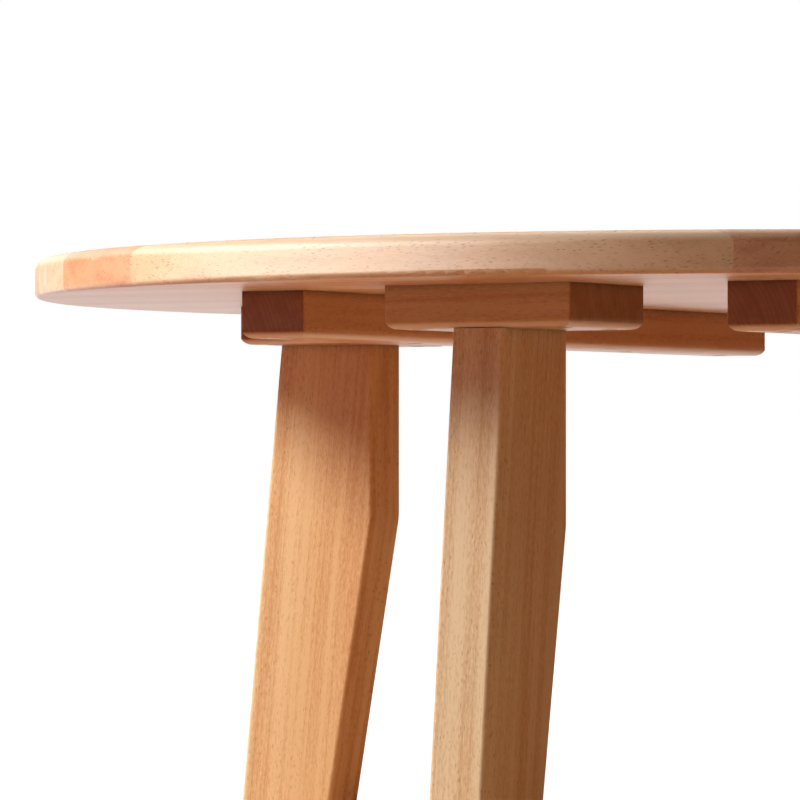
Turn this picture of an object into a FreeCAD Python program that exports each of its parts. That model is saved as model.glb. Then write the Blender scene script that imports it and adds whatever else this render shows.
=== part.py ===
import FreeCAD, Part
import os

from FreeCAD import Vector

os.makedirs("parts", exist_ok=True)

# Round low table of edge-glued staves on four flat plank legs that fold sideways under the top.
# Millimetres. The origin is on the floor under the centre of the top, +Z is up.
# +X runs along the grain of the top and +Y along the two battens.
# The south leg stands on -Y. The other three legs are the same leg turned in quarter turns.

# Overall
TOP_DIAMETER = 750.0
TABLE_HEIGHT = 305.0

# Top of edge-glued staves, the two outermost ones cut narrower than the rest
TOP_THICKNESS = 20.0
STAVE_COUNT = 17
OUTER_STAVE_SHARE = 5 / 6
TOP_ARRIS_RADIUS = 6.0
UNDER_ARRIS_RADIUS = 3.0

# Battens across the staves
BATTEN_LENGTH = 507.0
BATTEN_WIDTH = 37.0
BATTEN_HEIGHT = 23.5
BATTEN_INNER_FACE = 117.0
BATTEN_EDGE_RADIUS = 5.0
BATTEN_CORNER_RADIUS = 1.0
BATTEN_SCREW_END_MARGIN = 22.5
BATTEN_SCREW_COUNT = 5

# Leg blocks under the top
BLOCK_LENGTH = 102.0
BLOCK_WIDTH = 74.0
BLOCK_HEIGHT = 21.0
BLOCK_EDGE_RADIUS = 5.0
BLOCK_CORNER_RADIUS = 1.0
BLOCK_SCREW_SPACING_LONG = 80.0
BLOCK_SCREW_SPACING_WIDE = 44.0

# Legs
LEG_THICKNESS = 30.0
LEG_TOP_WIDTH = 60.0
LEG_RIM_MARGIN = 92.0
LEG_SETBACK = 3.0
LEG_KNEE_DROP = 95.0
LEG_OUTER_SPLAY = 0.102
LEG_INNER_SPLAY = 0.174
LEG_KNEE_RADIUS = 30.0
LEG_EDGE_RADIUS = 2.5
LEG_FOOT_EDGE_RADIUS = 2.0

# Felt pads under the feet
PAD_THICKNESS = 3.0
PAD_MARGIN = 5.0
PAD_CORNER_RADIUS = 3.0

# Folding bracket on the hidden side of each leg
PIVOT_DROP = 24.0
HUB_SIZE = 11.0
HUB_WIDTH = 22.0
HUB_CORNER_RADIUS = 1.0
HUB_TO_OUTER_FACE = 35.5
PIN_RADIUS = 2.5
PIN_HEAD_RADIUS = 4.0
PIN_HEAD_HEIGHT = 1.5
PIN_HEAD_ROUND = 1.0
PLATE_THICKNESS = 2.5
EAR_THICKNESS = 2.5
EAR_SIDE_GAP = 0.3
EAR_END_GAP = 0.3
BASE_PLATE_OVERLAP = 24.0
BASE_PLATE_LIP = 3.0
BASE_PLATE_CORNER_RADIUS = 3.0
BASE_SCREW_SPACING_WIDE = 18.0
BASE_SCREW_SPACING_LONG = 12.0
BASE_SCREW_END_MARGIN = 5.0
STRAP_WIDTH = 20.0
STRAP_LENGTH = 72.0
STRAP_THICKNESS = 2.5
STRAP_END_RADIUS = 8.0
STRAP_SCREW_PITCH = 22.0
STRAP_SCREW_COUNT = 3
STRAP_SCREW_FIRST = 14.0
STRAP_NECK_RADIUS = 5.0

# Catch spring between the base plate and the square hub
SPRING_THICKNESS = 0.8
SPRING_WIDTH = 8.0
SPRING_REACH = 9.0
SPRING_END_GAP = 0.8
RIVET_RADIUS = 1.5
RIVET_HEAD_RADIUS = 2.6
RIVET_HEAD_HEIGHT = 1.2
RIVET_OFFSET = 3.0

# Wood screws with countersunk heads
SCREW_CLEARANCE = 0.05
LARGE_SCREW_RADIUS = 2.0
LARGE_SCREW_HEAD_RADIUS = 4.0
SMALL_SCREW_RADIUS = 1.6
SMALL_SCREW_HEAD_RADIUS = 3.2
SCREW_TIP_SHARE = 0.25
SCREW_HEAD_RECESS = 0.4
TOP_BITE = 10.0
LARGE_SOCKET_WIDTH = 2.4
SMALL_SOCKET_WIDTH = 1.8
SOCKET_DEPTH_SHARE = 0.45
BASE_SCREW_LENGTH = 16.0
STRAP_SCREW_LENGTH = 18.0

# Fits
PIN_CLEARANCE = 0.05
PLATE_CLEARANCE = 0.1

# Two levels closer than this are the same when edges are picked
SAME_LEVEL = 0.001

# Derived levels and places
TOP_RADIUS = TOP_DIAMETER / 2
UNDERSIDE_Z = TABLE_HEIGHT - TOP_THICKNESS
BLOCK_BOTTOM_Z = UNDERSIDE_Z - BLOCK_HEIGHT
BATTEN_BOTTOM_Z = UNDERSIDE_Z - BATTEN_HEIGHT
LEG_OUTER = TOP_RADIUS - LEG_RIM_MARGIN
BLOCK_OUTER_FACE = LEG_OUTER + LEG_SETBACK
LEG_INNER = LEG_OUTER - LEG_TOP_WIDTH
LEG_DROP = BLOCK_BOTTOM_Z - PAD_THICKNESS
PIVOT_X = -(LEG_THICKNESS + HUB_SIZE) / 2
PIVOT_Z = BLOCK_BOTTOM_Z - PIVOT_DROP
HUB_CENTRE_Y = -(LEG_OUTER - HUB_TO_OUTER_FACE)
EAR_INNER_OFFSET = HUB_WIDTH / 2 + EAR_SIDE_GAP
EAR_OUTER_OFFSET = EAR_INNER_OFFSET + EAR_THICKNESS
BASE_PLATE_WIDTH = 2 * EAR_OUTER_OFFSET
STAVE_PITCH = TOP_DIAMETER / (STAVE_COUNT - 2 + 2 * OUTER_STAVE_SHARE)
STAVES_EACH_SIDE = STAVE_COUNT // 2
BATTEN_SCREW_PITCH = (BATTEN_LENGTH - 2 * BATTEN_SCREW_END_MARGIN) / (BATTEN_SCREW_COUNT - 1)

X_AXIS = Vector(1, 0, 0)
Y_AXIS = Vector(0, 1, 0)
Z_AXIS = Vector(0, 0, 1)


def box(x0, x1, y0, y1, z0, z1):
    return Part.makeBox(x1 - x0, y1 - y0, z1 - z0, Vector(x0, y0, z0))


def save(name, shape):
    """Write one node's solids to its own file."""
    shape.exportStep("parts/" + name + ".step")


def quarter_turned(shape, turns):
    """Turn a shape about the table's centre line by quarter turns."""
    turned = shape.copy()
    turned.rotate(Vector(0, 0, 0), Z_AXIS, 90 * turns)
    return turned


def profile_face(points):
    return Part.Face(Part.makePolygon(points + [points[0]]))


def outline_edges(shape, keep):
    return [edge for edge in shape.Edges if keep(edge)]


def is_along(edge, axis):
    """True for a straight edge that runs along the axis."""
    direction = edge.Vertexes[-1].Point - edge.Vertexes[0].Point
    if direction.Length == 0:
        return False
    return abs(direction.dot(axis)) / direction.Length > 1 - 1e-6


def wood_screw(radius, head_radius, length, socket_width):
    """Countersunk screw at the origin, driven towards +Z, its head's face at z = 0."""
    head_depth = head_radius - radius
    tip = length * SCREW_TIP_SHARE
    points = [
        Vector(0, 0, 0),
        Vector(head_radius, 0, 0),
        Vector(radius, 0, head_depth),
        Vector(radius, 0, length - tip),
        Vector(0, 0, length),
    ]
    body = profile_face(points).revolve(Vector(0, 0, 0), Z_AXIS, 360)
    half = socket_width / 2
    socket = box(-half, half, -half, half, 0, head_depth * 2 * SOCKET_DEPTH_SHARE)
    return body.cut(socket)


def screw_hole(radius, head_radius, length):
    """Room for a wood screw, with its clearance all round and an open mouth below z = 0."""
    gap = SCREW_CLEARANCE
    hole_radius = radius + gap
    mouth = head_radius + gap
    tip = length * SCREW_TIP_SHARE
    points = [
        Vector(0, 0, -head_radius),
        Vector(mouth, 0, -head_radius),
        Vector(mouth, 0, 0),
        Vector(hole_radius, 0, mouth - hole_radius),
        Vector(hole_radius, 0, length - tip),
        Vector(0, 0, length + gap),
    ]
    return profile_face(points).revolve(Vector(0, 0, 0), Z_AXIS, 360)


def placed(shape, places, axis=Z_AXIS):
    """Copies of a shape made along +Z, turned onto the axis and moved to each place."""
    turn = FreeCAD.Rotation(Z_AXIS, axis)
    copies = []
    for place in places:
        copy = shape.copy()
        copy.Placement = FreeCAD.Placement(place, turn)
        copies.append(copy)
    return copies


def top_disc():
    """The whole round top, with its two rounded arrises."""
    disc = Part.makeCylinder(TOP_RADIUS, TOP_THICKNESS, Vector(0, 0, UNDERSIDE_Z))
    upper = outline_edges(disc, lambda e: e.BoundBox.ZMin > UNDERSIDE_Z + TOP_THICKNESS / 2)
    disc = disc.makeFillet(TOP_ARRIS_RADIUS, upper)
    lower = outline_edges(disc, lambda e: e.BoundBox.ZMax < UNDERSIDE_Z + UNDER_ARRIS_RADIUS)
    return disc.makeFillet(UNDER_ARRIS_RADIUS, lower)


def staves(holes):
    """Slices of the top, from -Y to +Y, with the pilot holes that reach into them."""
    disc = top_disc()
    slices = []
    for index in range(-STAVES_EACH_SIDE, STAVES_EACH_SIDE + 1):
        y0 = (index - 0.5) * STAVE_PITCH
        y1 = y0 + STAVE_PITCH
        if index == -STAVES_EACH_SIDE:
            y0 = -TOP_DIAMETER
        if index == STAVES_EACH_SIDE:
            y1 = TOP_DIAMETER
        slab = box(-TOP_DIAMETER, TOP_DIAMETER, y0, y1, 0, TABLE_HEIGHT * 2)
        stave = disc.common(slab)
        near = [hole for hole in holes if hole.BoundBox.intersect(stave.BoundBox)]
        slices.append(stave.cut(near) if near else stave)
    return slices


def rounded_bar(x0, x1, y0, y1, z0, z1, edge_radius, corner_radius):
    """A bar under the top: round along its lower edges, nearly sharp at its upright corners."""
    bar = box(x0, x1, y0, y1, z0, z1)
    upright = outline_edges(bar, lambda e: is_along(e, Z_AXIS))
    bar = bar.makeFillet(corner_radius, upright)
    below = z0 + edge_radius / 2
    along_x = box(x0 - edge_radius, x1 + edge_radius, y0, y1, z0, z1 + edge_radius)
    lower = outline_edges(along_x, lambda e: is_along(e, X_AXIS) and e.BoundBox.ZMax < below)
    along_x = along_x.makeFillet(edge_radius, lower)
    along_y = box(x0, x1, y0 - edge_radius, y1 + edge_radius, z0, z1 + edge_radius)
    lower = outline_edges(along_y, lambda e: is_along(e, Y_AXIS) and e.BoundBox.ZMax < below)
    along_y = along_y.makeFillet(edge_radius, lower)
    return bar.common(along_x).common(along_y)


def batten_screw_places(x):
    first = -(BATTEN_SCREW_COUNT - 1) / 2 * BATTEN_SCREW_PITCH
    z = BATTEN_BOTTOM_Z + SCREW_HEAD_RECESS
    return [Vector(x, first + i * BATTEN_SCREW_PITCH, z) for i in range(BATTEN_SCREW_COUNT)]


def batten(side):
    """One batten, on the -X side for side = -1 and on the +X side for side = 1."""
    inner = side * BATTEN_INNER_FACE
    outer = side * (BATTEN_INNER_FACE + BATTEN_WIDTH)
    half = BATTEN_LENGTH / 2
    return rounded_bar(min(inner, outer), max(inner, outer), -half, half,
                       BATTEN_BOTTOM_Z, UNDERSIDE_Z, BATTEN_EDGE_RADIUS, BATTEN_CORNER_RADIUS)


def block_screw_places():
    centre = -(BLOCK_OUTER_FACE - BLOCK_WIDTH / 2)
    z = BLOCK_BOTTOM_Z + SCREW_HEAD_RECESS
    half_long = BLOCK_SCREW_SPACING_LONG / 2
    half_wide = BLOCK_SCREW_SPACING_WIDE / 2
    return [Vector(x, centre + y, z) for x in (-half_long, half_long) for y in (-half_wide, half_wide)]


def base_plate_ends():
    """The base plate's ends along X: just past the ears, and over the leg's top."""
    fold_end = PIVOT_X - HUB_SIZE / 2 - BASE_PLATE_LIP
    return fold_end, BASE_PLATE_OVERLAP - LEG_THICKNESS / 2


def base_screw_places():
    """Four screws over the leg's top, which a screwdriver reaches when the leg is folded."""
    half = BASE_SCREW_SPACING_WIDE / 2
    near_end = base_plate_ends()[1] - BASE_SCREW_END_MARGIN
    xs = (near_end - BASE_SCREW_SPACING_LONG, near_end)
    return [Vector(x, HUB_CENTRE_Y + y, BLOCK_BOTTOM_Z) for x in xs for y in (-half, half)]


def base_plate_outline(gap):
    """The flat plate let into the block, grown by a gap all round for its recess."""
    fold_end, leg_end = base_plate_ends()
    half = BASE_PLATE_WIDTH / 2 + gap
    plate = box(fold_end - gap, leg_end + gap, HUB_CENTRE_Y - half, HUB_CENTRE_Y + half,
                BLOCK_BOTTOM_Z, BLOCK_BOTTOM_Z + PLATE_THICKNESS)
    corners = outline_edges(plate, lambda e: is_along(e, Z_AXIS))
    return plate.makeFillet(BASE_PLATE_CORNER_RADIUS + gap, corners)


def leg_block(holes):
    half = BLOCK_LENGTH / 2
    block = rounded_bar(-half, half, -BLOCK_OUTER_FACE, -BLOCK_OUTER_FACE + BLOCK_WIDTH,
                        BLOCK_BOTTOM_Z, UNDERSIDE_Z, BLOCK_EDGE_RADIUS, BLOCK_CORNER_RADIUS)
    return block.cut([base_plate_outline(PLATE_CLEARANCE)] + holes)


def leg():
    """Flat plank: outer edge splayed from the top, inner edge upright to the knee and then splayed."""
    foot_z = BLOCK_BOTTOM_Z - LEG_DROP
    knee_z = BLOCK_BOTTOM_Z - LEG_KNEE_DROP
    foot_outer = -(LEG_OUTER + LEG_OUTER_SPLAY * LEG_DROP)
    foot_inner = -(LEG_INNER + LEG_INNER_SPLAY * (LEG_DROP - LEG_KNEE_DROP))
    x0 = -LEG_THICKNESS / 2
    points = [
        Vector(x0, -LEG_OUTER, BLOCK_BOTTOM_Z),
        Vector(x0, -LEG_INNER, BLOCK_BOTTOM_Z),
        Vector(x0, -LEG_INNER, knee_z),
        Vector(x0, foot_inner, foot_z),
        Vector(x0, foot_outer, foot_z),
    ]
    plank = profile_face(points).extrude(Vector(LEG_THICKNESS, 0, 0))
    knee = outline_edges(plank, lambda e: is_along(e, X_AXIS) and abs(e.BoundBox.ZMin - knee_z) < SAME_LEVEL)
    plank = plank.makeFillet(LEG_KNEE_RADIUS, knee)
    long_edges = outline_edges(plank, lambda e: e.BoundBox.ZLength > LEG_EDGE_RADIUS / 2)
    plank = plank.makeFillet(LEG_EDGE_RADIUS, long_edges)
    foot = outline_edges(plank, lambda e: e.BoundBox.ZMax < foot_z + SAME_LEVEL)
    return plank.makeFillet(LEG_FOOT_EDGE_RADIUS, foot)


def foot_pad():
    """Felt pad glued under the foot, a little inside its outline."""
    foot_z = BLOCK_BOTTOM_Z - LEG_DROP
    outer = LEG_OUTER + LEG_OUTER_SPLAY * LEG_DROP - PAD_MARGIN
    inner = LEG_INNER + LEG_INNER_SPLAY * (LEG_DROP - LEG_KNEE_DROP) + PAD_MARGIN
    half = LEG_THICKNESS / 2 - PAD_MARGIN
    pad = box(-half, half, -outer, -inner, foot_z - PAD_THICKNESS, foot_z)
    return pad.makeFillet(PAD_CORNER_RADIUS, outline_edges(pad, lambda e: is_along(e, Z_AXIS)))


def cylinder_along_y(radius, y0, y1):
    """A round bar on the pivot's axis."""
    return Part.makeCylinder(radius, y1 - y0, Vector(PIVOT_X, y0, PIVOT_Z), Y_AXIS)


def ear(y0):
    """One ear of the bracket: it hangs from the base plate and ends round the pin."""
    radius = HUB_SIZE / 2 - EAR_END_GAP
    points = [
        Vector(PIVOT_X - radius, y0, BLOCK_BOTTOM_Z),
        Vector(PIVOT_X + radius, y0, BLOCK_BOTTOM_Z),
        Vector(PIVOT_X + radius, y0, PIVOT_Z),
        Vector(PIVOT_X - radius, y0, PIVOT_Z),
    ]
    shank = profile_face(points).extrude(Vector(0, EAR_THICKNESS, 0))
    return shank.fuse(cylinder_along_y(radius, y0, y0 + EAR_THICKNESS))


def hinge_bracket(screw_holes):
    """Base plate with two ears, and holes for the pin, the spring's rivet and four screws."""
    plate = base_plate_outline(0)
    body = plate.fuse([ear(HUB_CENTRE_Y - EAR_OUTER_OFFSET), ear(HUB_CENTRE_Y + EAR_INNER_OFFSET)])
    reach = EAR_OUTER_OFFSET + EAR_THICKNESS
    pin_hole = cylinder_along_y(PIN_RADIUS + PIN_CLEARANCE, HUB_CENTRE_Y - reach, HUB_CENTRE_Y + reach)
    rivet_hole = Part.makeCylinder(RIVET_RADIUS + PIN_CLEARANCE, PLATE_THICKNESS, rivet_place())
    return body.cut([pin_hole, rivet_hole] + screw_holes).removeSplitter()


def pivot_pin():
    """Rivet through both ears and the hub, with a low round head at each end."""
    reach = EAR_OUTER_OFFSET + PIN_CLEARANCE
    y0 = HUB_CENTRE_Y - reach
    y1 = HUB_CENTRE_Y + reach
    shank = cylinder_along_y(PIN_RADIUS, y0, y1)
    heads = [
        cylinder_along_y(PIN_HEAD_RADIUS, y0 - PIN_HEAD_HEIGHT, y0),
        cylinder_along_y(PIN_HEAD_RADIUS, y1, y1 + PIN_HEAD_HEIGHT),
    ]
    pin = shank.fuse(heads)
    rims = outline_edges(pin, lambda e: is_end_rim(e, y0, y1))
    return pin.makeFillet(PIN_HEAD_ROUND, rims)


def is_end_rim(edge, y0, y1):
    """True for the outer rim of a pin's head."""
    flat = edge.BoundBox.YLength < SAME_LEVEL
    beyond = edge.BoundBox.YMin < y0 - PIN_HEAD_HEIGHT / 2 or edge.BoundBox.YMax > y1 + PIN_HEAD_HEIGHT / 2
    return flat and beyond


def strap_screw_places():
    x = -LEG_THICKNESS / 2 - STRAP_THICKNESS
    first = PIVOT_Z - HUB_SIZE / 2 - STRAP_SCREW_FIRST
    return [Vector(x, HUB_CENTRE_Y, first - i * STRAP_SCREW_PITCH) for i in range(STRAP_SCREW_COUNT)]


def leg_plate(screw_holes):
    """Strap on the leg's side with a square hub round the pin. The spring bears on the hub's flats."""
    half = HUB_SIZE / 2
    hub = box(PIVOT_X - half, PIVOT_X + half, HUB_CENTRE_Y - HUB_WIDTH / 2, HUB_CENTRE_Y + HUB_WIDTH / 2,
              PIVOT_Z - half, PIVOT_Z + half)
    outside = -LEG_THICKNESS / 2
    corners = outline_edges(hub, lambda e: is_along(e, Y_AXIS) and e.BoundBox.XMax < outside - half)
    hub = hub.makeFillet(HUB_CORNER_RADIUS, corners)
    strap_half = STRAP_WIDTH / 2
    strap_end = PIVOT_Z - half - STRAP_LENGTH
    strap = box(outside - STRAP_THICKNESS, outside, HUB_CENTRE_Y - strap_half, HUB_CENTRE_Y + strap_half,
                strap_end, PIVOT_Z)
    tip = outline_edges(strap, lambda e: is_along(e, X_AXIS) and e.BoundBox.ZMax < strap_end + half)
    strap = strap.makeFillet(STRAP_END_RADIUS, tip)
    plate = hub.fuse(strap).removeSplitter()
    neck_x = outside - STRAP_THICKNESS
    neck_z = PIVOT_Z - half
    neck = [edge for edge in plate.Edges if is_along(edge, Y_AXIS)
            and abs(edge.BoundBox.XMax - neck_x) < SAME_LEVEL
            and abs(edge.BoundBox.ZMax - neck_z) < SAME_LEVEL]
    plate = plate.makeFillet(STRAP_NECK_RADIUS, neck)
    bore = cylinder_along_y(PIN_RADIUS + PIN_CLEARANCE, HUB_CENTRE_Y - HUB_WIDTH, HUB_CENTRE_Y + HUB_WIDTH)
    return plate.cut([bore] + screw_holes)


def rivet_place():
    return Vector(PIVOT_X, HUB_CENTRE_Y + RIVET_OFFSET, BLOCK_BOTTOM_Z)


def catch_spring():
    """Strip bent like a C: its upper arm under the base plate, its lower arm on the hub's flat."""
    upper = BLOCK_BOTTOM_Z
    lower = PIVOT_Z + HUB_SIZE / 2
    outer_radius = (upper - lower) / 2
    inner_radius = outer_radius - SPRING_THICKNESS
    middle = (upper + lower) / 2
    bend_y = HUB_CENTRE_Y - HUB_WIDTH / 2 + SPRING_END_GAP + outer_radius
    end_y = HUB_CENTRE_Y + SPRING_REACH
    x0 = PIVOT_X - SPRING_WIDTH / 2
    outline = [
        Part.LineSegment(Vector(x0, end_y, upper), Vector(x0, bend_y, upper)),
        Part.Arc(Vector(x0, bend_y, upper), Vector(x0, bend_y - outer_radius, middle),
                 Vector(x0, bend_y, lower)),
        Part.LineSegment(Vector(x0, bend_y, lower), Vector(x0, end_y, lower)),
        Part.LineSegment(Vector(x0, end_y, lower), Vector(x0, end_y, lower + SPRING_THICKNESS)),
        Part.LineSegment(Vector(x0, end_y, lower + SPRING_THICKNESS),
                         Vector(x0, bend_y, lower + SPRING_THICKNESS)),
        Part.Arc(Vector(x0, bend_y, lower + SPRING_THICKNESS), Vector(x0, bend_y - inner_radius, middle),
                 Vector(x0, bend_y, upper - SPRING_THICKNESS)),
        Part.LineSegment(Vector(x0, bend_y, upper - SPRING_THICKNESS),
                         Vector(x0, end_y, upper - SPRING_THICKNESS)),
        Part.LineSegment(Vector(x0, end_y, upper - SPRING_THICKNESS), Vector(x0, end_y, upper)),
    ]
    strip = Part.Face(Part.Wire([part.toShape() for part in outline])).extrude(Vector(SPRING_WIDTH, 0, 0))
    hole = Part.makeCylinder(RIVET_RADIUS + PIN_CLEARANCE, outer_radius, rivet_place(), -Z_AXIS)
    return strip.cut(hole)


def spring_rivet():
    """Rivet that holds the spring's upper arm to the base plate."""
    head_top = BLOCK_BOTTOM_Z - SPRING_THICKNESS
    shank = Part.makeCylinder(RIVET_RADIUS, PLATE_THICKNESS + SPRING_THICKNESS,
                              rivet_place() - Vector(0, 0, SPRING_THICKNESS))
    head_place = Vector(rivet_place().x, rivet_place().y, head_top - RIVET_HEAD_HEIGHT)
    return shank.fuse(Part.makeCylinder(RIVET_HEAD_RADIUS, RIVET_HEAD_HEIGHT, head_place))


batten_screw_length = BATTEN_HEIGHT + TOP_BITE
block_screw_length = BLOCK_HEIGHT + TOP_BITE
batten_centre = BATTEN_INNER_FACE + BATTEN_WIDTH / 2
batten_places = batten_screw_places(-batten_centre) + batten_screw_places(batten_centre)

large = (LARGE_SCREW_RADIUS, LARGE_SCREW_HEAD_RADIUS)
small = (SMALL_SCREW_RADIUS, SMALL_SCREW_HEAD_RADIUS)
batten_screws = placed(wood_screw(*large, batten_screw_length, LARGE_SOCKET_WIDTH), batten_places)
batten_holes = placed(screw_hole(*large, batten_screw_length), batten_places)
block_screws = placed(wood_screw(*large, block_screw_length, LARGE_SOCKET_WIDTH), block_screw_places())
block_holes = placed(screw_hole(*large, block_screw_length), block_screw_places())
base_screws = placed(wood_screw(*small, BASE_SCREW_LENGTH, SMALL_SOCKET_WIDTH), base_screw_places())
base_holes = placed(screw_hole(*small, BASE_SCREW_LENGTH), base_screw_places())
strap_screw = wood_screw(*small, STRAP_SCREW_LENGTH, SMALL_SOCKET_WIDTH)
strap_screws = placed(strap_screw, strap_screw_places(), X_AXIS)
strap_holes = placed(screw_hole(*small, STRAP_SCREW_LENGTH), strap_screw_places(), X_AXIS)

all_block_screws = [quarter_turned(screw, turns) for turns in range(4) for screw in block_screws]
all_block_holes = [quarter_turned(hole, turns) for turns in range(4) for hole in block_holes]
all_base_screws = [quarter_turned(screw, turns) for turns in range(4) for screw in base_screws]

for number, stave in enumerate(staves(batten_holes + all_block_holes), start=1):
    save("top_stave_%02d" % number, stave)

save("batten_west", batten(-1).cut(batten_holes))
save("batten_east", batten(1).cut(batten_holes))
save("batten_screws", Part.makeCompound(batten_screws))
save("block_screws", Part.makeCompound(all_block_screws))
save("bracket_screws", Part.makeCompound(all_base_screws))
save("spring_rivets", Part.makeCompound([quarter_turned(spring_rivet(), turns) for turns in range(4)]))

leg_pieces = {
    "leg_block": leg_block(block_holes + base_holes),
    "leg": leg().cut(strap_holes),
    "foot_pad": foot_pad(),
    "hinge_bracket": hinge_bracket(base_holes),
    "pivot_pin": pivot_pin(),
    "leg_plate": leg_plate(strap_holes),
    "leg_plate_screws": Part.makeCompound(strap_screws),
    "catch_spring": catch_spring(),
}
for turns, side in enumerate(("south", "east", "north", "west")):
    for name, shape in leg_pieces.items():
        save(name + "_" + side, quarter_turned(shape, turns))
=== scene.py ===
import math
import random

import bpy
from mathutils import Matrix, Vector


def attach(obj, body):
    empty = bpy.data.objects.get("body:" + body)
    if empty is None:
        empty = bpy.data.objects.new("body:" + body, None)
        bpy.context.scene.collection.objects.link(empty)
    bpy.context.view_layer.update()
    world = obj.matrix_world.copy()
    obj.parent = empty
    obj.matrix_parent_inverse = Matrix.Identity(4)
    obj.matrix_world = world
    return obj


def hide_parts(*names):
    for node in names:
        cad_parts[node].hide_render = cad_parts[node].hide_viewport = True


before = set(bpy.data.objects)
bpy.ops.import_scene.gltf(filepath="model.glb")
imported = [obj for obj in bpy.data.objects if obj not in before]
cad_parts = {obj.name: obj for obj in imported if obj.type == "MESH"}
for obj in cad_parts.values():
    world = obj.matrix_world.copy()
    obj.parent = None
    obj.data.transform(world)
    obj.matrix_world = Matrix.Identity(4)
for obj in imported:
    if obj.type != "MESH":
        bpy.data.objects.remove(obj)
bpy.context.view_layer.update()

MM = 0.001
UP = (0, 0, 1)
SIDES = ("south", "east", "north", "west")

# Sizes in metres that place the boards in their logs, and the screws and rivets on the table. Those of the
# blocks, legs and hinges are for the south side, and are turned for the other three
STAVE_COUNT = 17
STAVE_PITCH = 45 * MM
STAVE_MIDDLE_Z = 295 * MM
BATTEN_CENTRE = 135.5 * MM
BATTEN_MIDDLE_Z = 273 * MM
BATTEN_BOTTOM_Z = 261.5 * MM
BATTEN_SCREW_PITCH = 115.5 * MM
BATTEN_SCREW_STEPS = range(-2, 3)
BLOCK_CENTRE = 249 * MM
BLOCK_MIDDLE_Z = 275 * MM
BLOCK_BOTTOM_Z = 264 * MM
BLOCK_SCREW_SPACING = (80 * MM, 44 * MM)
LEG_THICKNESS = 30 * MM
LEG_MIDDLE = (0, -260 * MM, 150 * MM)
LEG_SPLAY = 0.102
HUB_CENTRE = 247.5 * MM
HUB_SIZE = 11 * MM
PIVOT_X = -(LEG_THICKNESS + HUB_SIZE) / 2
PIVOT_Z = 240 * MM
BASE_PLATE_OVERLAP = 24 * MM
BASE_PLATE_END = BASE_PLATE_OVERLAP - LEG_THICKNESS / 2
BASE_SCREW_MARGIN = 5 * MM
BASE_SCREW_SPACING = (12 * MM, 18 * MM)
STRAP_THICKNESS = 2.5 * MM
STRAP_SCREW_FIRST = 14 * MM
STRAP_SCREW_PITCH = 22 * MM
STRAP_SCREW_COUNT = 3
SPRING_THICKNESS = 0.8 * MM
RIVET_OFFSET = 3 * MM
SCREW_HEAD_RECESS = 0.4 * MM

# Most of a noise pattern lies between these two values
NOISE_LOW = 0.3
NOISE_HIGH = 0.7


def linear(hex_colour):
    """An sRGB hex colour as the linear values that a socket takes."""
    parts = [int(hex_colour[i:i + 2], 16) / 255 for i in (0, 2, 4)]
    return tuple(c / 12.92 if c <= 0.04045 else ((c + 0.055) / 1.055) ** 2.4 for c in parts) + (1.0,)


def quarter(turns, x, y, z):
    """A place or direction on the south side, turned to another side."""
    angle = turns * math.pi / 2
    return (x * math.cos(angle) - y * math.sin(angle), x * math.sin(angle) + y * math.cos(angle), z)


def new_sockets(tree, in_out, sockets):
    """Give a node group its inputs or outputs, by name and kind."""
    for name, kind in sockets.items():
        tree.interface.new_socket(name, in_out=in_out, socket_type="NodeSocket" + kind)


def add(tree, kind, inputs=None, **settings):
    """Add a node, with its settings, and fill or link its inputs."""
    node = tree.nodes.new(kind)
    for name, value in settings.items():
        setattr(node, name, value)
    for name, value in (inputs or {}).items():
        if isinstance(value, bpy.types.NodeSocket):
            tree.links.new(value, node.inputs[name])
        else:
            node.inputs[name].default_value = value
    return node


def new_material(name):
    """An empty material and its node tree."""
    material = bpy.data.materials.new(name)
    material.use_nodes = True
    material.node_tree.nodes.clear()
    return material, material.node_tree


def dress(node_name, material):
    """Give a CAD node its material."""
    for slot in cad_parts[node_name].material_slots:
        slot.material = material


# Beech. Patterns are in millimetres of the log, so a scale is a number of cells in each millimetre

# The log isn't quite straight: its rings wander by a millimetre or two
WANDER_SCALE = (0.018, 0.018, 0.003)
WANDER_REACH = (7.0, 7.0, 0.0)
# A ring is 2 to 3 mm wide, and the outer part of it is the darker late wood
RINGS_PER_MM = 0.4
RING_DRIFT_SCALE = 0.35
RING_DRIFT = 2.2
LATE_START = 0.35
LATE_END = 0.97
LATE_POWER = 2.0
# A ray is a thin sheet that runs out from the pith: 3 to 10 mm deep, 0.2 to 0.7 mm thick and 1 to 3 mm tall.
# Each fills its own share of a cell of the pattern, and some cells hold a faint one or none
RAY_SCALE = (0.09, 1.2, 0.26)
RAY_SMALLEST = 0.14
RAY_VARIES = 0.3
RAY_CORE = 0.11
RAY_NONE = 0.12
RAY_FULL = 0.4
# Rays crowd in some places and are few in others
CROWD_SCALE = 0.12
CROWD_LOW = 0.36
CROWD_HIGH = 0.52
CROWD_LEAST = 0.25
# Fibres and pores are drawn coarser than they are so that they show: 0.6 mm across and 4 mm long
FIBRE_STRETCH = (1.0, 1.0, 0.17)
FIBRE_SCALE = 1.6
FIBRE_TONE = (-0.45, 0.55)
# Stripes of slower and faster growth are about 8 mm wide and run along the whole board
STRIPE_STRETCH = (1.0, 1.0, 0.02)
STRIPE_SCALE = 0.12
STRIPE_TONE = (-0.35, 0.75)
# How much the late wood tells on a face and on end grain
RING_TONE = (0.3, 1.1)
# Where the redder heart side fades out, from a little inside the board's middle to a little outside it
HEART_FULL_MM = -14.0
HEART_GONE_MM = 16.0
HEART_TINT = (0.86, 0.73, 0.62, 1)
RAY_COLOUR = "935528"
END_COLOUR = "7A3C1C"
# Painted light: the pale colour laid on the round-overs, for light thrown up from the floor below and a
# painted highlight above
PAINTED_EDGE_LIGHT_COLOUR = "EDD3BA"
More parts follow.
